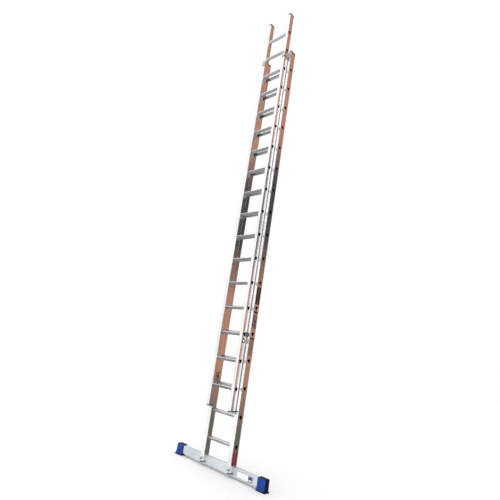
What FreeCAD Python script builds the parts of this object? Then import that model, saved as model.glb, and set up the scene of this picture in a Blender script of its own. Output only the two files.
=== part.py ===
import FreeCAD
import Part
import math
import os

# Two-section push-up extension ladder. Millimetres, standing straight up.
# X runs along the rungs, Y from the climber's side to the back, Z up along the stiles.
# The origin is the centre of the bounding box's bottom face: the feet stand on z = 0.

os.makedirs("parts", exist_ok=True)
Vector = FreeCAD.Vector

# ---- driving dimensions ----
PITCH = 250.0                 # rung spacing
RUNG_COUNT = 17               # rungs in each section
RAISED_RUNGS = 2              # how far the fly is raised above the base
FLY_DROP = 14.0               # fly rungs sit this much lower than the base rungs beside them

BASE_WIDTH = 396.0            # over the outer faces of the base stiles
BASE_STILE_WIDTH = 30.0
BASE_STILE_DEPTH = 78.0
FLY_WIDTH = 328.0
FLY_STILE_WIDTH = 33.0
FLY_STILE_DEPTH = 62.0
STILE_WALL = 2.0
STILE_CORNER = 2.5
SECTION_GAP = 7.0             # between the fly's back and the base's front
TOP_OVERRUN = 248.0           # stile above the centre of the top rung
FLY_FOOT_OVERRUN = 197.0      # fly stile below the centre of its lowest rung
RAIL_REACH = 16.0             # the base stile's guide rail, a lip along its front inner edge
RAIL_THICKNESS = 2.0
GROOVE_DEPTH = 0.7            # lengthwise grooves along the stiles' side faces
GROOVE_WIDTH = 2.4
GROOVE_INSET = 7.0            # from the stile's front or back face to the groove's centre

TREAD_HALF = 13.5             # rung section: a flat tread on top, a round keel below
TREAD_HEIGHT = 9.0
TREAD_CORNER = 4.0
KEEL_DROP = 9.5
KEEL_RADIUS = 8.5
RUNG_WALL = 1.8
RUNG_TILT = 15.0              # the tread's back edge is the higher one
RUNG_LIP = 1.5                # the flared rim round each open end
RUNG_LIP_THICKNESS = 1.0
COLLAR_LIP = 2.0              # the swaged collar against the stile's inner face
COLLAR_THICKNESS = 3.0
TREAD_GROOVES = 4
TREAD_GROOVE_WIDTH = 2.4
TREAD_GROOVE_DEPTH = 0.7
TREAD_GROOVE_SPACING = 6.0

TOP_CAP = 20.0                # plug standing above the stile's top end
FOOT_CAP = 10.0               # plug standing below its bottom end
PLUG_INSERT = 25.0            # plug inside the stile

BAR_HALF_LENGTH = 560.0       # stabiliser bar inside its feet
BAR_BOTTOM = 17.0
BAR_TOP = 92.0
BAR_DEPTH = 40.0
BAR_WALL = 2.5
BAR_CORNER = 3.0
BAR_RIBS = 5
BAR_RIB_WIDTH = 3.0
BAR_RIB_DEPTH = 0.8
TONGUE_DEPTH = 33.0           # front part of the base stile, which laps the bar
TONGUE_BOTTOM = 42.0
BOLT_HEIGHT = 64.0
BOLT_RADIUS = 5.0
BOLT_CLEARANCE = 0.5
BOLT_HEAD_RADIUS = 9.0
BOLT_HEAD_THICKNESS = 5.0
BOLT_PROUD = 18.0             # thread in front of the tongue
WASHER_RADIUS = 11.0
WASHER_THICKNESS = 2.0
NUT_ACROSS_FLATS = 17.0
NUT_THICKNESS = 9.0

PAD_INNER = 492.0             # rubber foot, from here outwards on each side
PAD_OUTER = 580.0
PAD_TOP = 100.0
SOLE_OUTER = 588.0
SOLE_THICKNESS = 8.0
SOLE_FRONT = 18.0             # sole in front of the bar's front face
SOLE_BACK = 7.0               # sole behind the bar's back face
COVER_INNER = 494.0           # blue cover on the front of the rubber foot
COVER_OUTER = 578.0
COVER_THICKNESS = 10.0
COVER_TOP = 98.0
COVER_TOE_TOP = 34.0
COVER_TOE_FRONT = 6.0
PAD_CORNER = 3.0

GUIDE_BOTTOM = 4390.0         # top guide bracket, a strap round the fly's stile
GUIDE_TOP = 4455.0
GUIDE_WALL = 3.0
GUIDE_CLEARANCE = 1.5
GUIDE_SIDE_CLEARANCE = 2.0
GUIDE_LIP_DEPTH = 8.0
RIVET_HEAD_RADIUS = 4.2
RIVET_HEAD_THICKNESS = 1.6
GUIDE_RIVET_INSET = 14.0      # from the bracket's upper and lower ends

PAD_GUIDE_HEIGHT = 48.0       # guide pads near the fly's third rung from the bottom
PAD_GUIDE_RUNG = 3
PAD_GUIDE_THICKNESS = 5.0
PAD_GUIDE_CLEARANCE = 1.0
PAD_GUIDE_LAP = 10.0
PAD_GUIDE_WALL = 3.0
PAD_GUIDE_REACH = 16.0
PAD_RIVET_INSET = 5.0         # in front of the fly's back face
PAD_RIVET_SPREAD = 20.0       # above and below the pad's middle

FOOT_TAB_DROP = 20.0          # tab under the back of the fly's foot plug
FOOT_TAB_DEPTH = 14.0

BRACKET_THICKNESS = 3.0       # rung hook bracket on the fly stile's inner face
BRACKET_FRONT = 44.0
BRACKET_BACK = 20.0
BRACKET_LOW = 12.0
BRACKET_HIGH = 50.0
BRACKET_CORNER = 6.0
BRACKET_RIVET_INSET = 12.0    # from the bracket's front edge
BRACKET_RIVET_MARGIN = 9.0    # from its upper and lower edges
PIVOT_BACK = 8.0              # hook pivot, behind the fly's back face
PIVOT_RISE = 30.0             # and above the base rung
PIN_RADIUS = 4.0
PIN_CLEARANCE = 0.05
PIN_HEAD_RADIUS = 7.0
PIN_HEAD_THICKNESS = 2.0
HOOK_THICKNESS = 4.0
HOOK_GAP = 0.5                # between the hook plate and its bracket
HOOK_HALF_HEIGHT = 8.0
HOOK_BOSS_RADIUS = 10.0
HOOK_PRONG_START = 58.0       # from the pivot to the prong's inner edge, hook level
HOOK_PRONG_END = 70.0
HOOK_PRONG_DROP = 30.0
HOOK_FOLD = 110.0             # degrees from level on the rung to folded up

OVERCUT = 1.0                 # how far a cutting shape runs past the face it cuts

# ---- places that follow from them ----
FRONT_STACK = FLY_STILE_DEPTH + GUIDE_WALL + GUIDE_CLEARANCE
BACK_STACK = TONGUE_DEPTH + BAR_DEPTH + SOLE_BACK
FLY_FRONT = -(FRONT_STACK + SECTION_GAP + BACK_STACK) / 2 + GUIDE_WALL + GUIDE_CLEARANCE
FLY_BACK = FLY_FRONT + FLY_STILE_DEPTH
FLY_MIDDLE = FLY_FRONT + FLY_STILE_DEPTH / 2
BASE_FRONT = FLY_BACK + SECTION_GAP
BASE_BACK = BASE_FRONT + BASE_STILE_DEPTH
BASE_MIDDLE = BASE_FRONT + BASE_STILE_DEPTH / 2
BAR_FRONT = BASE_FRONT + TONGUE_DEPTH
BAR_BACK = BAR_FRONT + BAR_DEPTH

BASE_HALF = BASE_WIDTH / 2
BASE_INNER = BASE_HALF - BASE_STILE_WIDTH
FLY_HALF = FLY_WIDTH / 2
FLY_INNER = FLY_HALF - FLY_STILE_WIDTH
BASE_TOP = PITCH * RUNG_COUNT + TOP_OVERRUN
FLY_LOWEST_RUNG = PITCH * (RAISED_RUNGS + 1) - FLY_DROP
FLY_TOP = FLY_LOWEST_RUNG + PITCH * (RUNG_COUNT - 1) + TOP_OVERRUN + FLY_DROP
FLY_BOTTOM = FLY_LOWEST_RUNG - FLY_FOOT_OVERRUN
HOOKED_RUNG = PITCH * (RAISED_RUNGS + 1)
BOLT_X = (BASE_INNER + BASE_HALF) / 2
PIVOT_Y = FLY_BACK + PIVOT_BACK
PIVOT_Z = HOOKED_RUNG + PIVOT_RISE
HOOK_FACE = FLY_INNER - BRACKET_THICKNESS - HOOK_GAP

RUNG_CIRCLES = (
    (0.0, -KEEL_DROP, KEEL_RADIUS),
    (TREAD_HALF, TREAD_HEIGHT, TREAD_CORNER),
    (-TREAD_HALF, TREAD_HEIGHT, TREAD_CORNER),
)


# ---- helpers ----
def block(x0, x1, y0, y1, z0, z1):
    """A box between two corners."""
    return Part.makeBox(x1 - x0, y1 - y0, z1 - z0, Vector(x0, y0, z0))


def parallel_edges(solid, direction):
    """The straight edges of a solid that run along a direction."""
    found = []
    for edge in solid.Edges:
        run = edge.Vertexes[-1].Point - edge.Vertexes[0].Point
        if run.Length > 0 and run.cross(direction).Length < 1e-6 * run.Length:
            found.append(edge)
    return found


def rounded_block(x0, x1, y0, y1, z0, z1, radius, direction):
    """A box whose edges along one direction are rounded."""
    box = block(x0, x1, y0, y1, z0, z1)
    return box.makeFillet(radius, parallel_edges(box, direction))


def mirrored(solid):
    """The same solid on the ladder's other side."""
    return solid.mirror(Vector(0, 0, 0), Vector(1, 0, 0))


def both_sides(solid):
    """A solid and its mirror image, as one group."""
    return Part.makeCompound([mirrored(solid), solid])


def cylinder_x(x0, x1, y, z, radius):
    return Part.makeCylinder(radius, x1 - x0, Vector(x0, y, z), Vector(1, 0, 0))


def cylinder_y(x, y0, y1, z, radius):
    return Part.makeCylinder(radius, y1 - y0, Vector(x, y0, z), Vector(0, 1, 0))


def tangent_normal(first, second):
    """Outward normal of the line that touches two circles of an anticlockwise outline."""
    run = Vector(0, second[0] - first[0], second[1] - first[1])
    along = run * (1 / run.Length)
    outward = Vector(0, along.z, -along.y)
    lean = (first[2] - second[2]) / run.Length
    return along * lean + outward * math.sqrt(1 - lean * lean)


def hull_prism(circles, x0, x1, swell=0.0):
    """A prism along X round circles of (y, z, radius), each grown by swell."""
    count = len(circles)
    normals = [tangent_normal(circles[i], circles[(i + 1) % count]) for i in range(count)]
    arcs = []
    for i, (y, z, radius) in enumerate(circles):
        centre = Vector(x0, y, z)
        reach = radius + swell
        middle = normals[i - 1] + normals[i]
        start = centre + normals[i - 1] * reach
        end = centre + normals[i] * reach
        arcs.append((start, centre + middle * (reach / middle.Length), end))
    edges = []
    for i, (start, middle, end) in enumerate(arcs):
        edges.append(Part.Arc(start, middle, end).toShape())
        edges.append(Part.LineSegment(end, arcs[(i + 1) % count][0]).toShape())
    return Part.Face(Part.Wire(edges)).extrude(Vector(x1 - x0, 0, 0))


# ---- rungs ----
def rung_bar(x0, x1, swell=0.0):
    """A length of the rung's outer section, tilted, with its centre on the X axis."""
    bar = hull_prism(RUNG_CIRCLES, x0, x1, swell)
    bar.rotate(Vector(0, 0, 0), Vector(1, 0, 0), RUNG_TILT)
    return bar


def tread_grooves(half_length):
    """The grooves between the tread's ribs."""
    top = TREAD_HEIGHT + TREAD_CORNER
    grooves = []
    for i in range(TREAD_GROOVES):
        y = (i - (TREAD_GROOVES - 1) / 2) * TREAD_GROOVE_SPACING
        low = y - TREAD_GROOVE_WIDTH / 2
        groove = block(-half_length, half_length, low, low + TREAD_GROOVE_WIDTH,
                       top - TREAD_GROOVE_DEPTH, top + TREAD_GROOVE_DEPTH)
        groove.rotate(Vector(0, 0, 0), Vector(1, 0, 0), RUNG_TILT)
        grooves.append(groove)
    return grooves


def make_rung(half_width, stile_inner):
    """A hollow rung through both stiles, with flared ends and swaged collars."""
    end = half_width + RUNG_LIP_THICKNESS
    rims = []
    for side in (-1, 1):
        lip = sorted((side * half_width, side * end))
        collar = sorted((side * (stile_inner - COLLAR_THICKNESS), side * stile_inner))
        rims.append(rung_bar(lip[0], lip[1], RUNG_LIP))
        rims.append(rung_bar(collar[0], collar[1], COLLAR_LIP))
    bore = rung_bar(-end - OVERCUT, end + OVERCUT, -RUNG_WALL)
    outside = rung_bar(-end, end).cut(tread_grooves(stile_inner - COLLAR_THICKNESS))
    return outside.fuse(rims).cut(bore).removeSplitter()


def rung_heights(lowest):
    return [lowest + PITCH * i for i in range(RUNG_COUNT)]


# ---- stiles and their plugs ----
def side_grooves(x, front, back, bottom, top):
    """Two lengthwise grooves in the side face at x."""
    grooves = []
    for y in (front + GROOVE_INSET, back - GROOVE_INSET):
        grooves.append(block(x - GROOVE_DEPTH, x + GROOVE_DEPTH,
                             y - GROOVE_WIDTH / 2, y + GROOVE_WIDTH / 2,
                             bottom - OVERCUT, top + OVERCUT))
    return grooves


def make_stile(inner, outer, front, back, bottom, top, heights):
    """The right-hand stile: a box section, grooved and pierced for every rung."""
    up = Vector(0, 0, 1)
    stile = rounded_block(inner, outer, front, back, bottom, top, STILE_CORNER, up)
    cuts = [block(inner + STILE_WALL, outer - STILE_WALL, front + STILE_WALL, back - STILE_WALL,
                  bottom - OVERCUT, top + OVERCUT)]
    cuts += side_grooves(outer, front, back, bottom, top)
    cuts += side_grooves(inner, front, back, bottom, top)
    hole = rung_bar(inner - OVERCUT, outer + OVERCUT)
    for height in heights:
        piece = hole.copy()
        piece.translate(Vector(0, (front + back) / 2, height))
        cuts.append(piece)
    return stile.cut(cuts)


def make_base_stile():
    """The base stile ends on the bar, and its front laps down over the bar as a tongue.

    A thin rail along its front inner edge lies behind the fly's stile.
    """
    stile = make_stile(BASE_INNER, BASE_HALF, BASE_FRONT, BASE_BACK,
                       TONGUE_BOTTOM, BASE_TOP - TOP_CAP, rung_heights(PITCH))
    notch = block(BASE_INNER - OVERCUT, BASE_HALF + OVERCUT, BAR_FRONT, BASE_BACK + OVERCUT, 0, BAR_TOP)
    bolt_hole = cylinder_y(BOLT_X, BASE_FRONT - OVERCUT, BAR_FRONT, BOLT_HEIGHT, BOLT_RADIUS + BOLT_CLEARANCE)
    rail = block(BASE_INNER - RAIL_REACH, BASE_INNER + STILE_CORNER, BASE_FRONT, BASE_FRONT + RAIL_THICKNESS,
                 BAR_TOP, BASE_TOP - TOP_CAP)
    return stile.fuse(rail).cut([notch, bolt_hole]).removeSplitter()


def make_plug(inner, outer, front, back, end, direction, cap_height):
    """A plastic plug in a stile's end: direction is 1 at the top end and -1 at the bottom."""
    faces = sorted((end, end + direction * cap_height))
    insert = sorted((end, end - direction * PLUG_INSERT))
    cap = rounded_block(inner, outer, front, back, faces[0], faces[1], STILE_CORNER, Vector(0, 0, 1))
    body = block(inner + STILE_WALL, outer - STILE_WALL, front + STILE_WALL, back - STILE_WALL,
                 insert[0], insert[1])
    return cap.fuse(body).removeSplitter()


def make_fly_foot_plug():
    """The fly's foot plug has a short tab under its back edge."""
    plug = make_plug(FLY_INNER, FLY_HALF, FLY_FRONT, FLY_BACK, FLY_BOTTOM + FOOT_CAP, -1, FOOT_CAP)
    tab = block(FLY_INNER + STILE_WALL, FLY_HALF - STILE_WALL,
                FLY_BACK - FOOT_TAB_DEPTH, FLY_BACK - STILE_WALL,
                FLY_BOTTOM - FOOT_TAB_DROP, FLY_BOTTOM)
    return plug.fuse(tab).removeSplitter()


def make_tongue_plug():
    """A plug that closes the lower end of the base stile's tongue."""
    plug = make_plug(BASE_INNER, BASE_HALF, BASE_FRONT, BAR_FRONT, TONGUE_BOTTOM, -1, FOOT_CAP)
    bolt_room = block(BASE_INNER, BASE_HALF, BASE_FRONT, BAR_BACK,
                      BOLT_HEIGHT - WASHER_RADIUS, BOLT_HEIGHT + WASHER_RADIUS)
    return plug.cut(bolt_room)


# ---- stabiliser bar, its fasteners and feet ----
def make_bar():
    """The hollow stabiliser bar, ribbed lengthwise on its front and back."""
    along = Vector(1, 0, 0)
    bar = rounded_block(-BAR_HALF_LENGTH, BAR_HALF_LENGTH, BAR_FRONT, BAR_BACK,
                        BAR_BOTTOM, BAR_TOP, BAR_CORNER, along)
    end = BAR_HALF_LENGTH + OVERCUT
    cuts = [block(-end, end, BAR_FRONT + BAR_WALL, BAR_BACK - BAR_WALL,
                  BAR_BOTTOM + BAR_WALL, BAR_TOP - BAR_WALL)]
    spacing = (BAR_TOP - BAR_BOTTOM) / (BAR_RIBS + 1)
    for i in range(BAR_RIBS):
        z = BAR_BOTTOM + spacing * (i + 1)
        for y in (BAR_FRONT, BAR_BACK):
            cuts.append(block(-end, end, y - BAR_RIB_DEPTH, y + BAR_RIB_DEPTH,
                              z - BAR_RIB_WIDTH / 2, z + BAR_RIB_WIDTH / 2))
    for x in (-BOLT_X, BOLT_X):
        cuts.append(cylinder_y(x, BAR_FRONT - OVERCUT, BAR_BACK + OVERCUT, BOLT_HEIGHT,
                               BOLT_RADIUS + BOLT_CLEARANCE))
    return bar.cut(cuts)


def make_bolt():
    """A bolt from the back of the bar through the tongue's front."""
    shank = cylinder_y(BOLT_X, BASE_FRONT - BOLT_PROUD, BAR_BACK, BOLT_HEIGHT, BOLT_RADIUS)
    head = cylinder_y(BOLT_X, BAR_BACK, BAR_BACK + BOLT_HEAD_THICKNESS, BOLT_HEIGHT, BOLT_HEAD_RADIUS)
    return shank.fuse(head).removeSplitter()


def make_nut():
    """A washer and a hexagon nut in front of the tongue, as one flanged nut."""
    washer = cylinder_y(BOLT_X, BASE_FRONT - WASHER_THICKNESS, BASE_FRONT, BOLT_HEIGHT, WASHER_RADIUS)
    corner = NUT_ACROSS_FLATS / math.sqrt(3)
    front = BASE_FRONT - WASHER_THICKNESS - NUT_THICKNESS
    points = []
    for i in range(7):
        angle = math.radians(60 * i)
        points.append(Vector(BOLT_X + corner * math.cos(angle), front,
                             BOLT_HEIGHT + corner * math.sin(angle)))
    nut = Part.Face(Part.makePolygon(points)).extrude(Vector(0, NUT_THICKNESS, 0))
    bore = cylinder_y(BOLT_X, front - OVERCUT, BASE_FRONT + OVERCUT, BOLT_HEIGHT, BOLT_RADIUS)
    return washer.fuse(nut).cut(bore).removeSplitter()


def make_foot():
    """The rubber foot: an end block with a flange above and a sole below the bar."""
    body = rounded_block(PAD_INNER, PAD_OUTER, BAR_FRONT, BAR_BACK + SOLE_BACK / 2,
                         SOLE_THICKNESS - OVERCUT, PAD_TOP, PAD_CORNER, Vector(0, 1, 0))
    sole = rounded_block(PAD_INNER, SOLE_OUTER, BAR_FRONT - SOLE_FRONT, BAR_BACK + SOLE_BACK,
                         0, SOLE_THICKNESS, PAD_CORNER, Vector(0, 0, 1))
    pocket = block(PAD_INNER - OVERCUT, BAR_HALF_LENGTH, BAR_FRONT - OVERCUT, BAR_BACK,
                   BAR_BOTTOM, BAR_TOP)
    return body.fuse(sole).cut(pocket).removeSplitter()


def make_foot_cover():
    """The cover on the front of the foot, with a thicker toe at its bottom."""
    front = BAR_FRONT - COVER_THICKNESS
    profile = [
        Vector(COVER_INNER, BAR_FRONT, SOLE_THICKNESS),
        Vector(COVER_INNER, front - COVER_TOE_FRONT, SOLE_THICKNESS),
        Vector(COVER_INNER, front - COVER_TOE_FRONT, COVER_TOE_TOP - COVER_TOE_FRONT),
        Vector(COVER_INNER, front, COVER_TOE_TOP),
        Vector(COVER_INNER, front, COVER_TOP),
        Vector(COVER_INNER, BAR_FRONT, COVER_TOP),
    ]
    profile.append(profile[0])
    cover = Part.Face(Part.makePolygon(profile)).extrude(Vector(COVER_OUTER - COVER_INNER, 0, 0))
    return cover.makeFillet(PAD_CORNER, parallel_edges(cover, Vector(0, 0, 1))[:2])


# ---- guides ----
def make_guide_bracket():
    """The top guide: a strap from the base stile's front face round the fly's stile."""
    outside = FLY_HALF + GUIDE_SIDE_CLEARANCE
    front = FLY_FRONT - GUIDE_CLEARANCE - GUIDE_WALL
    lip = FLY_INNER - GUIDE_CLEARANCE
    side = block(outside, outside + GUIDE_WALL, front, BASE_FRONT, GUIDE_BOTTOM, GUIDE_TOP)
    face = block(lip - GUIDE_WALL, outside + GUIDE_WALL, front, front + GUIDE_WALL, GUIDE_BOTTOM, GUIDE_TOP)
    edge = block(lip - GUIDE_WALL, lip, front, FLY_FRONT + GUIDE_LIP_DEPTH, GUIDE_BOTTOM, GUIDE_TOP)
    flange = block(outside, BASE_HALF, BASE_FRONT - GUIDE_WALL, BASE_FRONT, GUIDE_BOTTOM, GUIDE_TOP)
    return side.fuse([face, edge, flange]).removeSplitter()


def make_guide_rivets():
    """Two rivets that hold the top guide's flange to the base stile's front."""
    rivets = []
    y = BASE_FRONT - GUIDE_WALL
    for z in (GUIDE_BOTTOM + GUIDE_RIVET_INSET, GUIDE_TOP - GUIDE_RIVET_INSET):
        head = cylinder_y(BOLT_X, y - RIVET_HEAD_THICKNESS, y, z, RIVET_HEAD_RADIUS)
        rivets.append(head)
    return Part.makeCompound(rivets)


def make_guide_pad():
    """The lower guide: a pad from the fly's outer face across the front of the base's stile."""
    middle = FLY_LOWEST_RUNG + PITCH * (PAD_GUIDE_RUNG - 1)
    low = middle - PAD_GUIDE_HEIGHT / 2
    high = middle + PAD_GUIDE_HEIGHT / 2
    back = BASE_FRONT - PAD_GUIDE_CLEARANCE
    side = block(FLY_HALF, FLY_HALF + PAD_GUIDE_WALL, FLY_BACK - PAD_GUIDE_LAP, back, low, high)
    pad = block(FLY_HALF, FLY_HALF + PAD_GUIDE_REACH, back - PAD_GUIDE_THICKNESS, back, low, high)
    return side.fuse(pad).removeSplitter()


# ---- rung hooks ----
def make_hook_bracket():
    """The plate on the fly stile's inner face that carries the hook's pivot."""
    plate = rounded_block(FLY_INNER - BRACKET_THICKNESS, FLY_INNER,
                          FLY_BACK - BRACKET_FRONT, FLY_BACK + BRACKET_BACK,
                          HOOKED_RUNG + BRACKET_LOW, HOOKED_RUNG + BRACKET_HIGH,
                          BRACKET_CORNER, Vector(1, 0, 0))
    hole = cylinder_x(FLY_INNER - BRACKET_THICKNESS - OVERCUT, FLY_INNER + OVERCUT,
                      PIVOT_Y, PIVOT_Z, PIN_RADIUS)
    return plate.cut(hole)


def make_hook_pin():
    """The pivot pin, headed at both ends."""
    outer = FLY_INNER + PIN_HEAD_THICKNESS
    inner = HOOK_FACE - HOOK_THICKNESS - HOOK_GAP
    shank = cylinder_x(inner - PIN_HEAD_THICKNESS, outer, PIVOT_Y, PIVOT_Z, PIN_RADIUS)
    far_head = cylinder_x(FLY_INNER, outer, PIVOT_Y, PIVOT_Z, PIN_HEAD_RADIUS)
    near_head = cylinder_x(inner - PIN_HEAD_THICKNESS, inner, PIVOT_Y, PIVOT_Z, PIN_HEAD_RADIUS)
    return shank.fuse([far_head, near_head]).removeSplitter()


def make_hook():
    """The rung hook, modelled level on the rung and then folded up out of the rungs' way."""
    x0 = HOOK_FACE - HOOK_THICKNESS
    boss = cylinder_x(x0, HOOK_FACE, 0, 0, HOOK_BOSS_RADIUS)
    beam = block(x0, HOOK_FACE, 0, HOOK_PRONG_END, -HOOK_HALF_HEIGHT, HOOK_HALF_HEIGHT)
    prong = block(x0, HOOK_FACE, HOOK_PRONG_START, HOOK_PRONG_END, -HOOK_PRONG_DROP, HOOK_HALF_HEIGHT)
    bore = cylinder_x(x0 - OVERCUT, HOOK_FACE + OVERCUT, 0, 0, PIN_RADIUS + PIN_CLEARANCE)
    hook = beam.fuse([boss, prong]).removeSplitter().cut(bore)
    hook.rotate(Vector(0, 0, 0), Vector(1, 0, 0), HOOK_FOLD)
    hook.translate(Vector(0, PIVOT_Y, PIVOT_Z))
    return hook


def make_fly_rivets():
    """Rivets through the hook bracket's front and the guide pad's lap, on the right-hand side."""
    rivets = []
    face = FLY_INNER - BRACKET_THICKNESS
    low = HOOKED_RUNG + BRACKET_LOW + BRACKET_RIVET_MARGIN
    high = HOOKED_RUNG + BRACKET_HIGH - BRACKET_RIVET_MARGIN
    for z in (low, high):
        rivets.append(cylinder_x(face - RIVET_HEAD_THICKNESS, face,
                                 FLY_BACK - BRACKET_FRONT + BRACKET_RIVET_INSET, z, RIVET_HEAD_RADIUS))
    pad_face = FLY_HALF + PAD_GUIDE_WALL
    middle = FLY_LOWEST_RUNG + PITCH * (PAD_GUIDE_RUNG - 1)
    for z in (middle - PAD_RIVET_SPREAD, middle + PAD_RIVET_SPREAD):
        rivets.append(cylinder_x(pad_face, pad_face + RIVET_HEAD_THICKNESS,
                                 FLY_BACK - PAD_RIVET_INSET, z, RIVET_HEAD_RADIUS))
    return Part.makeCompound(rivets)


def group_of_both(group):
    """All solids of a right-hand group and their mirror images, as one group."""
    solids = []
    for solid in group.Solids:
        solids.append(solid)
        solids.append(mirrored(solid))
    return Part.makeCompound(solids)


def pair(name, right):
    """Left and right nodes of the same sub-part."""
    return {name + "_left": mirrored(right), name + "_right": right}


def place_rungs(name, rung, y, heights):
    """One node per rung, numbered from the bottom."""
    nodes = {}
    for number, height in enumerate(heights, 1):
        piece = rung.copy()
        piece.translate(Vector(0, y, height))
        nodes["%s_%02d" % (name, number)] = piece
    return nodes


nodes = {}
fly_heights = rung_heights(FLY_LOWEST_RUNG)
nodes.update(pair("base_stile", make_base_stile()))
nodes.update(place_rungs("base_rung", make_rung(BASE_HALF, BASE_INNER), BASE_MIDDLE, rung_heights(PITCH)))
nodes["base_top_plugs"] = both_sides(
    make_plug(BASE_INNER, BASE_HALF, BASE_FRONT, BASE_BACK, BASE_TOP - TOP_CAP, 1, TOP_CAP))
nodes["base_tongue_plugs"] = both_sides(make_tongue_plug())
nodes.update(pair("top_guide", make_guide_bracket()))
nodes["top_guide_rivets"] = group_of_both(make_guide_rivets())
nodes["stabiliser_bar"] = make_bar()
nodes["stabiliser_bolts"] = both_sides(make_bolt())
nodes["stabiliser_nuts"] = both_sides(make_nut())
nodes.update(pair("rubber_foot", make_foot()))
nodes.update(pair("foot_cover", make_foot_cover()))

nodes.update(pair("fly_stile", make_stile(FLY_INNER, FLY_HALF, FLY_FRONT, FLY_BACK,
                                          FLY_BOTTOM + FOOT_CAP, FLY_TOP - TOP_CAP, fly_heights)))
nodes.update(place_rungs("fly_rung", make_rung(FLY_HALF, FLY_INNER), FLY_MIDDLE, fly_heights))
nodes["fly_top_plugs"] = both_sides(
    make_plug(FLY_INNER, FLY_HALF, FLY_FRONT, FLY_BACK, FLY_TOP - TOP_CAP, 1, TOP_CAP))
nodes["fly_foot_plugs"] = both_sides(make_fly_foot_plug())
nodes.update(pair("guide_pad", make_guide_pad()))
nodes.update(pair("hook_bracket", make_hook_bracket()))
nodes["hook_pins"] = both_sides(make_hook_pin())
nodes["fly_rivets"] = group_of_both(make_fly_rivets())
nodes.update(pair("rung_hook", make_hook()))

for name, shape in nodes.items():
    shape.exportStep("parts/%s.step" % name)
box = Part.makeCompound(list(nodes.values())).BoundBox
print("nodes", len(nodes), "box", box)
for name, shape in nodes.items():
    if not shape.isValid() or not shape.Solids:
        print("check", name, shape.isValid(), len(shape.Solids))
print("pivot", PIVOT_Y, PIVOT_Z, "fly back", FLY_BACK, "base front", BASE_FRONT)
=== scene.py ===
import math

import bmesh
import bpy
from mathutils import Matrix, Vector


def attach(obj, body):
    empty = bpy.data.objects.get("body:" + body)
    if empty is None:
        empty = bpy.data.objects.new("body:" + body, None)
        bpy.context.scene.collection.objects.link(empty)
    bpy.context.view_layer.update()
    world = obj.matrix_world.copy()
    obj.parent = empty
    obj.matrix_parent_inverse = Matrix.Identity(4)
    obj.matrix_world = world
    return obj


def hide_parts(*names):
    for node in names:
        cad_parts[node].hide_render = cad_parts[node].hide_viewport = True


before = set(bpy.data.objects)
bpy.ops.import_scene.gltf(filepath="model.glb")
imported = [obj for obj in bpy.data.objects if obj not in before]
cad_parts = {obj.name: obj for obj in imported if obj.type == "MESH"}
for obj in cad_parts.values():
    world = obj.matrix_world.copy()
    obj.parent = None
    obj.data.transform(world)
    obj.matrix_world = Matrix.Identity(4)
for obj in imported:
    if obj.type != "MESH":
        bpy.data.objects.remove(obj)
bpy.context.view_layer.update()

# Metres. X runs along the rungs, Y from the climber's side to the back, Z up the stiles.

# ---- camera ----
CAMERA_PLACE = (2.738, -2.839, 1.074)
CAMERA_AZIMUTH = 43.68        # degrees from +Y towards -X
CAMERA_ELEVATION = 14.54
CAMERA_ROLL = 8.8
CAMERA_LENS = 28.25           # millimetres on a 36 mm sensor

# ---- the ladder's own places ----
BASE_SIDE = 0.198             # outer face of the base stile
BASE_MIDDLE = 0.03575         # middle of its depth
FLY_SIDE = 0.164              # the same for the fly's stile
FLY_MIDDLE = -0.04125
BAR_FRONT = 0.02975           # front face of the stabiliser bar
RIVET_RADIUS = 0.0045
RIVET_HEIGHT = 0.0019
BASE_RIVETS = ((0.183, -0.00625, 4.404), (0.183, -0.00625, 4.441))
BRACKET_RIVETS = ((0.128, -0.04225, 0.771), (0.128, -0.04225, 0.791))
PAD_RIVETS = ((0.167, -0.01525, 1.216), (0.167, -0.01525, 1.256))
HOOK_PIVOT = (0.1255, -0.00225, 0.78)
HOOK_FOLD = math.radians(110) # how far a hook is folded up at rest, from level
COVER_INNER = 0.494           # blue cover of the bar's foot
COVER_OUTER = 0.578
COVER_FRONT = 0.01975
COVER_TOE = 0.01375
COVER_BOTTOM = 0.008
COVER_TOE_TOP = 0.03
COVER_TOP = 0.098
BASE_RUNG_END = 0.1965        # where a rung's open end begins
FLY_RUNG_END = 0.1625
FOOT_TAB_TOP = 0.538          # the tab under the fly's foot plug
TUBE_EDGE = 0.0004            # over which a rung turns dark there
TAB_EDGE = 0.0005             # over which the plug turns to its pale tab
GRIP_SIZE = (0.0066, 0.024, 0.0185)   # the red sleeve on a rung hook's beam, while level
GRIP_REACH = 0.038            # from the hook's pin to the sleeve's middle
PLATE_CORNER = 0.009          # corners of the blue cover's plate and toe, seen from the front
TOE_CORNER = 0.006
PANEL_MARGIN = 0.008          # the sunk panel on the plate
PANEL_DEPTH = 0.0015
MOULDED_EDGE = 0.0018         # rounding of the cover's edges, and of the grip's
GRIP_EDGE = 0.0015

# ---- colours, linear ----
ALUMINIUM = (0.86, 0.86, 0.87, 1)
DARK_OXIDE = (0.60, 0.60, 0.61, 1)
RUNG_PALE = (0.93, 0.93, 0.95, 1)
RUNG_DARK = (0.66, 0.67, 0.69, 1)
BAR_PALE = (0.86, 0.91, 0.94, 1)
BAR_DARK = (0.56, 0.62, 0.66, 1)
BRACKET_PALE = (0.62, 0.56, 0.56, 1)
BRACKET_DARK = (0.45, 0.40, 0.40, 1)
GAP_SHADOW = (0.004, 0.004, 0.005, 1)
TUBE_SHADOW = (0.008, 0.008, 0.009, 1)
ZINC = (0.50, 0.50, 0.48, 1)
RIVET = (0.60, 0.60, 0.61, 1)
GREY = (0.075, 0.072, 0.06, 1)
TEAL = (0.012, 0.035, 0.055, 1)
PALE_TAB = (0.50, 0.62, 0.70, 1)
PAD_BLUE = (0.09, 0.13, 0.20, 1)
FOOT_BLUE = (0.006, 0.042, 0.26, 1)
GRIP_RED = (0.16, 0.004, 0.02, 1)
RUBBER = (0.006, 0.006, 0.008, 1)
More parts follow.
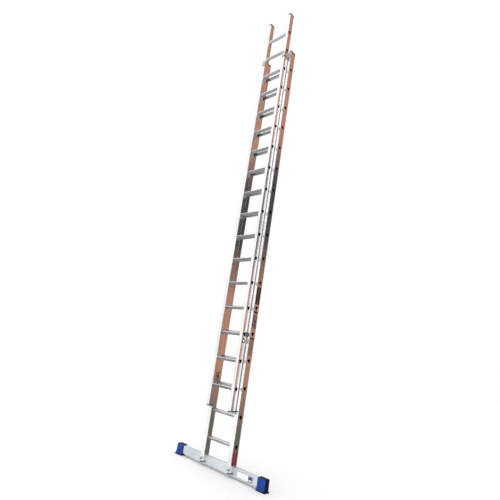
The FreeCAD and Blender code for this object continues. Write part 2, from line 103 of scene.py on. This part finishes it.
WHITE_PRINT = (0.90, 0.91, 0.92, 1)
PAPER_GREY = (0.80, 0.82, 0.84, 1)

# ---- how noise is stretched: a small number draws it out along that axis ----
EVEN = (1, 1, 1)
UP_THE_STILE = (1, 1, 0.012)
ALONG_THE_RUNG = (0.012, 1, 1)
ALONG_THE_BAR = (0.4, 1, 1)
CLOUDS = (1, 1, 0.35)


# ---- materials ----
def new_material(name):
    """A material with its nodes and its shader."""
    material = bpy.data.materials.new(name)
    material.use_nodes = True
    tree = material.node_tree
    return material, tree, tree.nodes["Principled BSDF"]


def node(tree, kind, **settings):
    made = tree.nodes.new(kind)
    for key, value in settings.items():
        setattr(made, key, value)
    return made


def stretched_noise(tree, stretch, scale, detail=3.0):
    """Noise over the object's own coordinates, drawn out along an axis."""
    place = node(tree, "ShaderNodeTexCoord")
    mapping = node(tree, "ShaderNodeMapping")
    mapping.inputs["Scale"].default_value = stretch
    noise = node(tree, "ShaderNodeTexNoise")
    noise.inputs["Scale"].default_value = scale
    noise.inputs["Detail"].default_value = detail
    tree.links.new(place.outputs["Object"], mapping.inputs["Vector"])
    tree.links.new(mapping.outputs["Vector"], noise.inputs["Vector"])
    return noise.outputs["Fac"]


def remap(tree, source, low, high, start=0.3, end=0.7):
    """The part of a value between start and end, spread between low and high."""
    spread = node(tree, "ShaderNodeMapRange")
    spread.inputs["From Min"].default_value = start
    spread.inputs["From Max"].default_value = end
    spread.inputs["To Min"].default_value = low
    spread.inputs["To Max"].default_value = high
    tree.links.new(source, spread.inputs["Value"])
    return spread.outputs["Result"]


def ramp(tree, source, start, end):
    """0 up to start, 1 from end on."""
    return remap(tree, source, 0.0, 1.0, start, end)


def blend(tree, factor, first, second):
    """Two colours, or sockets that carry them, mixed by a factor."""
    mix = node(tree, "ShaderNodeMix", data_type="RGBA")
    colour_sockets = [socket for socket in mix.inputs if socket.type == "RGBA"]
    for socket, value in zip([mix.inputs[0]] + colour_sockets, (factor, first, second)):
        if isinstance(value, bpy.types.NodeSocket):
            tree.links.new(value, socket)
        else:
            socket.default_value = value
    return [socket for socket in mix.outputs if socket.type == "RGBA"][0]


def bump(tree, shader, height, strength, distance):
    made = node(tree, "ShaderNodeBump")
    made.inputs["Strength"].default_value = strength
    made.inputs["Distance"].default_value = distance
    tree.links.new(height, made.inputs["Height"])
    tree.links.new(made.outputs["Normal"], shader.inputs["Normal"])


def crevice_shade(tree, reach):
    """How much of a face escapes the painted shade: 0 deep inside tubes and gaps, 1 on open faces."""
    shade = node(tree, "ShaderNodeAmbientOcclusion", samples=6)
    shade.inputs["Distance"].default_value = reach
    return ramp(tree, shade.outputs["AO"], 0.12, 0.62)


def place_along(tree, axis, size=False):
    """The object's own coordinate along an axis, or its size without the sign."""
    place = node(tree, "ShaderNodeTexCoord")
    split = node(tree, "ShaderNodeSeparateXYZ")
    tree.links.new(place.outputs["Object"], split.inputs["Vector"])
    if not size:
        return split.outputs[axis]
    away = node(tree, "ShaderNodeMath", operation="ABSOLUTE")
    tree.links.new(split.outputs[axis], away.inputs[0])
    return away.outputs["Value"]


def mill_aluminium(name, along, roughness, axis, pale=ALUMINIUM, dark=DARK_OXIDE,
                   anisotropy=0.7, gap=0.05):
    """Mill-finish aluminium: extrusion lines, a cloudy oxide, painted shade in gaps within reach of
    gap.
    """
    material, tree, shader = new_material(name)
    shader.inputs["Metallic"].default_value = 1.0
    shader.inputs["Anisotropic"].default_value = anisotropy
    streaks = stretched_noise(tree, along, 160.0, 4.0)
    cloud = stretched_noise(tree, CLOUDS, 7.0, 4.0)
    worn = blend(tree, remap(tree, streaks, 0.0, 0.5), pale, dark)
    worn = blend(tree, remap(tree, cloud, 0.0, 0.4), worn, dark)
    # painted shade: inside tubes and gaps the colour turns to GAP_SHADOW by ambient occlusion
    shaded = blend(tree, crevice_shade(tree, gap), GAP_SHADOW, worn)
    tree.links.new(shaded, shader.inputs["Base Color"])
    tree.links.new(remap(tree, cloud, roughness - 0.05, roughness + 0.06), shader.inputs["Roughness"])
    tangent = node(tree, "ShaderNodeTangent", direction_type="RADIAL", axis=axis)
    tree.links.new(tangent.outputs["Tangent"], shader.inputs["Tangent"])
    bump(tree, shader, streaks, 0.08, 0.0003)
    return material


def plated_steel(name, colour, roughness):
    """Zinc-plated steel with its patchy crystals."""
    material, tree, shader = new_material(name)
    shader.inputs["Metallic"].default_value = 1.0
    patches = stretched_noise(tree, EVEN, 160.0, 2.0)
    dull = [0.6 * part for part in colour[:3]] + [1]
    patchy = blend(tree, remap(tree, patches, 0.0, 1.0), colour, dull)
    tree.links.new(patchy, shader.inputs["Base Color"])
    tree.links.new(remap(tree, patches, roughness - 0.08, roughness + 0.08), shader.inputs["Roughness"])
    return material


def plain_plastic(name, colour, roughness):
    """Moulded plastic, slightly scuffed, with a fine grain."""
    material, tree, shader = new_material(name)
    grain = stretched_noise(tree, EVEN, 900.0)
    scuffs = stretched_noise(tree, EVEN, 45.0, 5.0)
    shader.inputs["Specular IOR Level"].default_value = 0.25
    faded = [min(1.0, 1.4 * part + 0.004) for part in colour[:3]] + [1]
    scuffed = blend(tree, remap(tree, scuffs, 0.0, 0.5), colour, faded)
    tree.links.new(scuffed, shader.inputs["Base Color"])
    tree.links.new(remap(tree, scuffs, roughness - 0.08, roughness + 0.12), shader.inputs["Roughness"])
    bump(tree, shader, grain, 0.15, 0.0003)
    return material


def add_finish(material, amount, colour, metallic, roughness):
    """Another finish laid over a material by an amount from 0 to 1."""
    tree = material.node_tree
    shader = tree.nodes["Principled BSDF"]
    under = shader.inputs["Base Color"].links[0].from_socket
    tree.links.new(blend(tree, amount, under, colour), shader.inputs["Base Color"])
    for name, value in (("Metallic", metallic), ("Roughness", roughness)):
        socket = shader.inputs[name]
        if socket.links:
            start = socket.links[0].from_socket
        else:
            start = node(tree, "ShaderNodeValue").outputs["Value"]
            start.default_value = socket.default_value
        mix = node(tree, "ShaderNodeMix", data_type="FLOAT")
        tree.links.new(amount, mix.inputs[0])
        tree.links.new(start, mix.inputs[2])
        mix.inputs[3].default_value = value
        tree.links.new(mix.outputs[0], socket)


def dark_ends(material, start):
    """The inside of a rung's open end, from start outwards, is painted as shadow."""
    tree = material.node_tree
    inside = ramp(tree, place_along(tree, "X", size=True), start, start + TUBE_EDGE)
    add_finish(material, inside, TUBE_SHADOW, 0.0, 0.8)


def pale_tab(material):
    """The short tab under the fly's foot plug is pale."""
    tree = material.node_tree
    below = remap(tree, place_along(tree, "Z"), 1.0, 0.0, FOOT_TAB_TOP, FOOT_TAB_TOP + TAB_EDGE)
    add_finish(material, below, PALE_TAB, 0.0, 0.5)


stile_metal = mill_aluminium("stile_metal", UP_THE_STILE, 0.24, "Z", gap=0.010)
RUNG_LOOK = (ALONG_THE_RUNG, 0.2, "X", RUNG_PALE, RUNG_DARK, 0.4)
base_rung_metal = mill_aluminium("base_rung_metal", *RUNG_LOOK)
dark_ends(base_rung_metal, BASE_RUNG_END)
fly_rung_metal = mill_aluminium("fly_rung_metal", *RUNG_LOOK)
dark_ends(fly_rung_metal, FLY_RUNG_END)
bar_metal = mill_aluminium("bar_metal", ALONG_THE_BAR, 0.42, "X", BAR_PALE, BAR_DARK, 0.3)
bracket_metal = mill_aluminium("bracket_metal", EVEN, 0.35, "Z", BRACKET_PALE, BRACKET_DARK)
zinc = plated_steel("zinc", ZINC, 0.38)
rivet_steel = plated_steel("rivet_steel", RIVET, 0.3)
grey_plastic = plain_plastic("grey_plastic", GREY, 0.5)
teal_plastic = plain_plastic("teal_plastic", TEAL, 0.45)
foot_plug_plastic = plain_plastic("foot_plug_plastic", TEAL, 0.45)
pale_tab(foot_plug_plastic)
pad_plastic = plain_plastic("pad_plastic", PAD_BLUE, 0.45)
blue_plastic = plain_plastic("blue_plastic", FOOT_BLUE, 0.38)
grip_plastic = plain_plastic("grip_plastic", GRIP_RED, 0.4)
black_rubber = plain_plastic("black_rubber", RUBBER, 0.6)

FINISH = {
    "base_stile": stile_metal, "fly_stile": stile_metal,
    "base_rung": base_rung_metal, "fly_rung": fly_rung_metal,
    "base_top_plugs": grey_plastic, "fly_top_plugs": grey_plastic,
    "base_tongue_plugs": teal_plastic, "fly_foot_plugs": foot_plug_plastic,
    "top_guide": bracket_metal, "top_guide_rivets": rivet_steel, "fly_rivets": rivet_steel,
    "stabiliser_bar": bar_metal, "stabiliser_bolts": zinc, "stabiliser_nuts": zinc,
    "rubber_foot": black_rubber, "foot_cover": blue_plastic,
    "guide_pad": pad_plastic, "hook_bracket": zinc, "hook_pins": rivet_steel, "rung_hook": zinc,
}


def finish_of(name):
    """The material of a CAD node: its name, or the longest start of it, in FINISH."""
    keys = [key for key in FINISH if name.startswith(key)]
    return FINISH[max(keys, key=len)]


for name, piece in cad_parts.items():
    for slot in piece.material_slots:
        slot.material = finish_of(name)


# ---- pieces with more shape than their CAD nodes ----
def add_piece(name, mesh_maker, material, body, place=(0, 0, 0)):
    """An object whose mesh is filled by mesh_maker, riding on a body."""
    mesh = bpy.data.meshes.new(name)
    shape = bmesh.new()
    mesh_maker(shape)
    bmesh.ops.recalc_face_normals(shape, faces=shape.faces)
    shape.to_mesh(mesh)
    shape.free()
    mesh.materials.append(material)
    piece = bpy.data.objects.new(name, mesh)
    piece.location = place
    bpy.context.collection.objects.link(piece)
    bpy.context.view_layer.update()
    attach(piece, body)
    return piece


def soften(piece, width, segments=3):
    """Rounded edges."""
    edge = piece.modifiers.new("edge", "BEVEL")
    edge.width = width
    edge.segments = segments
    edge.limit_method = "ANGLE"
    for polygon in piece.data.polygons:
        polygon.use_smooth = True
    normals = piece.modifiers.new("normals", "WEIGHTED_NORMAL")
    normals.keep_sharp = True


def rounded_outline(width, height, corner, steps=5):
    """Points round a rectangle with rounded corners, centred on 0, 0."""
    points = []
    for quarter in range(4):
        cx = (width / 2 - corner) * (1 if quarter in (0, 3) else -1)
        cy = (height / 2 - corner) * (1 if quarter in (0, 1) else -1)
        for i in range(steps + 1):
            angle = math.pi / 2 * (quarter + i / steps)
            points.append((cx + corner * math.cos(angle), cy + corner * math.sin(angle)))
    return points


def prism(shape, ring, along):
    """A solid swept from a ring of points by a vector."""
    face = shape.faces.new([shape.verts.new(point) for point in ring])
    grown = bmesh.ops.extrude_face_region(shape, geom=[face])
    moved = [item for item in grown["geom"] if isinstance(item, bmesh.types.BMVert)]
    bmesh.ops.translate(shape, verts=moved, vec=along)


def front_plate(shape, x0, x1, z0, z1, back, front, corner):
    """A plate with rounded corners that faces the climber."""
    outline = rounded_outline(x1 - x0, z1 - z0, corner)
    ring = [((x0 + x1) / 2 + x, back, (z0 + z1) / 2 + z) for x, z in outline]
    prism(shape, ring, (0, front - back, 0))


def foot_cover(side):
    """The blue cover on the bar's foot: a plate with a sunk panel above a thicker toe."""
    inner, outer = sorted((side * COVER_INNER, side * COVER_OUTER))

    def fill(shape):
        front_plate(shape, inner, outer, COVER_BOTTOM, COVER_TOP, BAR_FRONT, COVER_FRONT, PLATE_CORNER)
        shape.faces.ensure_lookup_table()
        fronts = [face for face in shape.faces
                  if abs(face.calc_center_median().y - COVER_FRONT) < 1e-5]
        bmesh.ops.inset_region(shape, faces=fronts, thickness=PANEL_MARGIN, depth=-PANEL_DEPTH)
        front_plate(shape, inner, outer, COVER_BOTTOM, COVER_TOE_TOP, BAR_FRONT, COVER_TOE, TOE_CORNER)

    name = "foot_cover_left" if side < 0 else "foot_cover_right"
    piece = add_piece("moulded_" + name, fill, blue_plastic, "base")
    soften(piece, MOULDED_EDGE)
    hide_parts(name)


def dome(shape, centre, direction, radius, height):
    """A rivet's domed head, standing on centre along direction."""
    made = bmesh.ops.create_uvsphere(shape, u_segments=16, v_segments=8, radius=1.0)
    turn = Vector((0, 0, 1)).rotation_difference(Vector(direction)).to_matrix().to_4x4()
    place = Matrix.Translation(centre) @ turn @ Matrix.Diagonal((radius, radius, height, 1))
    bmesh.ops.transform(shape, matrix=place, verts=made["verts"])


def rivets(name, node_name, body, groups):
    """All rivet heads of a CAD node: groups of (places on the right-hand side, direction)."""
    def fill(shape):
        for places, direction in groups:
            for x, y, z in places:
                for side in (-1, 1):
                    facing = (side * direction[0], direction[1], direction[2])
                    dome(shape, (side * x, y, z), facing, RIVET_RADIUS, RIVET_HEIGHT)

    piece = add_piece(name, fill, rivet_steel, body)
    for polygon in piece.data.polygons:
        polygon.use_smooth = True
    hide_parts(node_name)


def hook_grip(side):
    """The red plastic sleeve on a rung hook's beam."""
    def fill(shape):
        bmesh.ops.create_cube(shape, size=1.0)
        bmesh.ops.transform(shape, matrix=Matrix.Diagonal((*GRIP_SIZE, 1)), verts=shape.verts)
        bmesh.ops.translate(shape, vec=(0, GRIP_REACH, 0), verts=shape.verts)
        bmesh.ops.subdivide_edges(shape, edges=shape.edges, cuts=2, use_grid_fill=True)
        fold = Matrix.Rotation(HOOK_FOLD, 3, "X")
        bmesh.ops.rotate(shape, cent=(0, 0, 0), matrix=fold, verts=shape.verts)

    word = "left" if side < 0 else "right"
    place = (side * HOOK_PIVOT[0], HOOK_PIVOT[1], HOOK_PIVOT[2])
    piece = add_piece("hook_grip_" + word, fill, grip_plastic, "hook_" + word, place)
    soften(piece, GRIP_EDGE)


for side in (-1, 1):
    foot_cover(side)
    hook_grip(side)
rivets("domed_guide_rivets", "top_guide_rivets", "base", ((BASE_RIVETS, (0, -1, 0)),))
rivets("domed_fly_rivets", "fly_rivets", "fly", ((BRACKET_RIVETS, (-1, 0, 0)), (PAD_RIVETS, (1, 0, 0))))


# ---- stickers: plain generic patterns, with no words or marks ----
FILM = 0.0003                 # a sticker's thickness


def printed_film(name, ground, mark, stretch, scale, low, high, middle=None):
    """Printed film: marks of noise on a ground, kept within a distance of its middle line."""
    material, tree, shader = new_material(name)
    shader.inputs["Roughness"].default_value = 0.4
    amount = remap(tree, stretched_noise(tree, stretch, scale, 2.0), 0.0, 1.0, low, high)
    if middle:
        away = place_along(tree, "Y", size=True)
        kept = node(tree, "ShaderNodeMath", operation="MULTIPLY")
        tree.links.new(remap(tree, away, 1.0, 0.0, middle * 0.8, middle), kept.inputs[0])
        tree.links.new(amount, kept.inputs[1])
        amount = kept.outputs["Value"]
    tree.links.new(blend(tree, amount, ground, mark), shader.inputs["Base Color"])
    return material


def side_sticker(name, body, side_face, middle_y, z0, z1, width, corner, material, lift=0.0):
    """A sticker on a right-hand stile's outer face, with its origin in its middle."""
    def fill(shape):
        prism(shape, [(0, y, z) for y, z in rounded_outline(width, z1 - z0, corner)], (FILM, 0, 0))

    add_piece(name, fill, material, body, (side_face + lift, middle_y, (z0 + z1) / 2))


def bar_sticker(name, x0, x1, z0, z1, corner, material, lift=0.0):
    """A sticker on the bar's front."""
    def fill(shape):
        front_plate(shape, x0, x1, z0, z1, BAR_FRONT - lift, BAR_FRONT - lift - FILM, corner)

    add_piece(name, fill, material, "base")


plum_film = printed_film("plum_film", (0.018, 0.008, 0.012, 1), (0.14, 0.10, 0.10, 1),
                         (1, 4, 0.3), 60, 0.4, 0.6, middle=0.010)
dark_film = printed_film("dark_film", (0.030, 0.004, 0.010, 1), (0.10, 0.03, 0.035, 1),
                         EVEN, 200, 0.5, 0.7)
grey_film = printed_film("grey_film", (0.24, 0.15, 0.14, 1), (0.030, 0.020, 0.025, 1),
                         (1, 1, 0.6), 90, 0.44, 0.54)
mauve_film = printed_film("mauve_film", (0.22, 0.11, 0.12, 1), (0.17, 0.15, 0.10, 1),
                          (1, 1, 0.2), 60, 0.45, 0.6)
red_film = printed_film("red_film", (0.19, 0.004, 0.012, 1), (0.55, 0.18, 0.20, 1),
                        (1, 1, 0.04), 260, 0.46, 0.54, middle=0.005)
ring_film = printed_film("ring_film", (0.02, 0.02, 0.025, 1), (0.30, 0.30, 0.32, 1),
                         EVEN, 60, 0.5, 0.6)
white_film = printed_film("white_film", WHITE_PRINT, PAPER_GREY, EVEN, 60, 0.4, 0.8)
navy_film = printed_film("navy_film", (0.03, 0.035, 0.16, 1), (0.05, 0.06, 0.22, 1),
                         EVEN, 120, 0.4, 0.7)

# On the base stile, from the top: name, bottom, top, width, corner, film.
BASE_STICKERS = (
    ("sticker_plum", 1.535, 1.705, 0.058, 0.003, plum_film),
    ("sticker_band", 1.447, 1.470, 0.058, 0.002, dark_film),
    ("sticker_grey", 1.300, 1.430, 0.056, 0.003, grey_film),
    ("sticker_lower_band", 1.196, 1.216, 0.058, 0.002, dark_film),
    ("sticker_mauve", 1.050, 1.190, 0.058, 0.003, mauve_film),
    ("sticker_red", 0.100, 0.208, 0.058, 0.003, red_film),
)
# On the fly's stile, discs on each other that make a ring: name, width, film.
RING_HEIGHT = 1.175
DISC_FLAT = 0.0001            # a disc's corners are rounded to this much short of its middle
RING_DISCS = (
    ("sticker_ring_edge", 0.054, white_film),
    ("sticker_ring", 0.050, ring_film),
    ("sticker_ring_face", 0.022, white_film),
)
# On the bar, films on each other: name, left, right, bottom, top, corner, film.
BAR_STICKERS = (
    ("sticker_frame", 0.252, 0.440, 0.024, 0.078, 0.003, navy_film),
    ("sticker_panel", 0.2545, 0.4375, 0.0265, 0.0755, 0.002, white_film),
    ("sticker_block", 0.388, 0.434, 0.030, 0.072, 0.002, navy_film),
    ("sticker_stripe", 0.394, 0.428, 0.036, 0.046, 0.001, white_film),
)

for name, low, high, width, corner, film in BASE_STICKERS:
    side_sticker(name, "base", BASE_SIDE, BASE_MIDDLE, low, high, width, corner, film)
for layer, (name, width, film) in enumerate(RING_DISCS):
    low, high = RING_HEIGHT - width / 2, RING_HEIGHT + width / 2
    corner = width / 2 - DISC_FLAT
    side_sticker(name, "fly", FLY_SIDE, FLY_MIDDLE, low, high, width, corner, film, layer * FILM)
for layer, (name, left, right, low, high, corner, film) in enumerate(BAR_STICKERS):
    bar_sticker(name, left, right, low, high, corner, film, layer * FILM)


# ---- stage ----
# The metal is bright enough to mirror what stands round it, so the studio has a brick-brown wall
# with a slate band behind the ladder's right and a soft white light in front. Only mirrored rays
# see them. The floor and the background are plain.
WALL_BEARING = math.radians(46.3)     # from +Y towards +X: where the side faces' mirror rays go
WALL_DISTANCE = 1.0
WALL_WIDTH = 1.8
WALL_LOW = -1.0
WALL_HIGH = 7.0
BRICK = (0.56, 0.27, 0.175, 1)
OLIVE = (0.16, 0.145, 0.11, 1)
SLATE = (0.055, 0.05, 0.06, 1)
WALL_BANDS = (                        # heights over which the wall turns to the next colour
    (0.2, 0.9, BRICK),
    (1.65, 2.5, SLATE),
    (3.3, 3.9, BRICK),
)
SOFTBOX_SIDE = (0, -1, 0)             # the soft white light covers the climber's side
SOFTBOX_TONE = (1.0, 1.0, 1.0, 1)
SOFTBOX_FOOT = (-0.42, -0.26)         # ray heights over which it begins
SOFTBOX_EDGE = (0.4, 0.62)            # and how far round to its sides it reaches
LEFT = (-0.69, -0.72, 0)
RIGHT = (0.69, -0.72, 0)
LAMPS = (                             # brighter parts of it: horizontal direction, tone
    (LEFT, (1.34, 1.34, 1.34, 1)),
    (RIGHT, (2.3, 2.3, 2.3, 1)),
)
LAMP_EDGE = (0.80, 0.95)
ROOM_BELOW = (0.30, 0.305, 0.31, 1)   # what mirrored rays see round the softbox
ROOM_ABOVE = (0.92, 0.93, 0.95, 1)
LIGHT_RIGHT = (0.85, 0.85, 0.88, 1)   # the light itself, stronger from the left
LIGHT_LEFT = (1.45, 1.45, 1.42, 1)
FLOOR_WHITE = (0.95, 0.95, 0.95, 1)
FLOOR_SIZE = 80
FLOOR_DROP = 0.0005                   # the floor's top is this far below the feet


def stage_material(name):
    """A material that only glows, with its node tree and its glow."""
    material = bpy.data.materials.new(name)
    material.use_nodes = True
    tree = material.node_tree
    tree.nodes.clear()
    glow = node(tree, "ShaderNodeEmission")
    out = node(tree, "ShaderNodeOutputMaterial")
    tree.links.new(glow.outputs["Emission"], out.inputs["Surface"])
    return material, tree, glow


def wall_glow():
    """An olive foot, then brick with a slate band across its middle."""
    material, tree, glow = stage_material("wall_glow")
    place = node(tree, "ShaderNodeNewGeometry")
    split = node(tree, "ShaderNodeSeparateXYZ")
    tree.links.new(place.outputs["Position"], split.inputs["Vector"])
    height = split.outputs["Z"]
    tone = OLIVE
    for start, end, colour in WALL_BANDS:
        tone = blend(tree, ramp(tree, height, start, end), tone, colour)
    tree.links.new(tone, glow.inputs["Color"])
    return material


def wall_card():
    """The wall, seen only by mirrored rays."""
    centre = Vector((math.sin(WALL_BEARING), math.cos(WALL_BEARING), 0)) * WALL_DISTANCE
    across = Vector((math.cos(WALL_BEARING), -math.sin(WALL_BEARING), 0)) * (WALL_WIDTH / 2)
    corners = [centre + across * side + Vector((0, 0, z))
               for side, z in ((-1, WALL_LOW), (1, WALL_LOW), (1, WALL_HIGH), (-1, WALL_HIGH))]
    mesh = bpy.data.meshes.new("wall_card")
    mesh.from_pydata(corners, [], [(0, 1, 2, 3)])
    mesh.materials.append(wall_glow())
    card = bpy.data.objects.new("wall_card", mesh)
    bpy.context.collection.objects.link(card)
    card.visible_camera = False
    card.visible_diffuse = False
    card.visible_shadow = False


def floor_plane():
    """The plain pale floor. Mirrored rays pass it, so the metal's undersides stay dark."""
    material, tree, shader = new_material("floor_white")
    shader.inputs["Base Color"].default_value = FLOOR_WHITE
    shader.inputs["Roughness"].default_value = 0.9
    bpy.ops.mesh.primitive_plane_add(size=FLOOR_SIZE, location=(0, 0, -FLOOR_DROP))
    floor = bpy.context.object
    floor.name = "studio_floor"
    floor.data.materials.append(material)
    floor.visible_glossy = False


def horizontal(tree, direction):
    """The compass direction of a ray."""
    flat = node(tree, "ShaderNodeVectorMath", operation="MULTIPLY")
    flat.inputs[1].default_value = (1, 1, 0)
    tree.links.new(direction, flat.inputs[0])
    unit = node(tree, "ShaderNodeVectorMath", operation="NORMALIZE")
    tree.links.new(flat.outputs["Vector"], unit.inputs[0])
    return unit.outputs["Vector"]


def direction_dot(tree, direction, towards):
    """How far a ray's direction points along another, as a cosine."""
    dot = node(tree, "ShaderNodeVectorMath", operation="DOT_PRODUCT")
    dot.inputs[1].default_value = towards
    tree.links.new(direction, dot.inputs[0])
    return dot.outputs["Value"]


def studio_world():
    """White to the camera. The light is stronger from the front left, and mirrored rays see a
    room that is pale above, with the softbox in front."""
    world = bpy.data.worlds.new("studio")
    bpy.context.scene.world = world
    world.use_nodes = True
    tree = world.node_tree
    tree.nodes.clear()
    direction = node(tree, "ShaderNodeTexCoord").outputs["Generated"]
    height = direction_dot(tree, direction, (0, 0, 1))
    bearing = horizontal(tree, direction)
    front = direction_dot(tree, bearing, SOFTBOX_SIDE)
    left = direction_dot(tree, direction, LEFT)
    room = blend(tree, ramp(tree, height, -0.45, 0.9), ROOM_BELOW, ROOM_ABOVE)
    softbox = node(tree, "ShaderNodeMath", operation="MULTIPLY")
    tree.links.new(ramp(tree, height, *SOFTBOX_FOOT), softbox.inputs[0])
    tree.links.new(ramp(tree, front, *SOFTBOX_EDGE), softbox.inputs[1])
    tone = SOFTBOX_TONE
    for towards, lamp_tone in LAMPS:
        facing = ramp(tree, direction_dot(tree, bearing, towards), *LAMP_EDGE)
        tone = blend(tree, facing, tone, lamp_tone)
    mirrored = blend(tree, softbox.outputs["Value"], room, tone)
    lit = blend(tree, ramp(tree, left, -0.6, 0.9), LIGHT_RIGHT, LIGHT_LEFT)
    path = node(tree, "ShaderNodeLightPath")
    shown = blend(tree, path.outputs["Is Glossy Ray"], lit, mirrored)
    shown = blend(tree, path.outputs["Is Camera Ray"], shown, (1, 1, 1, 1))
    background = node(tree, "ShaderNodeBackground")
    out = node(tree, "ShaderNodeOutputWorld")
    tree.links.new(shown, background.inputs["Color"])
    tree.links.new(background.outputs["Background"], out.inputs["Surface"])


floor_plane()
wall_card()
studio_world()

# ---- camera ----
camera_data = bpy.data.cameras.new("camera")
camera_data.lens = CAMERA_LENS
camera_data.sensor_width = 36
camera_data.clip_end = 200
camera = bpy.data.objects.new("camera", camera_data)
turn = Matrix.Rotation(math.radians(CAMERA_AZIMUTH), 4, "Z")
tip = Matrix.Rotation(math.radians(90 + CAMERA_ELEVATION), 4, "X")
roll = Matrix.Rotation(math.radians(CAMERA_ROLL), 4, "Z")
camera.matrix_world = Matrix.Translation(CAMERA_PLACE) @ turn @ tip @ roll
bpy.context.collection.objects.link(camera)
bpy.context.scene.camera = camera
bpy.context.scene.view_settings.view_transform = "Standard"
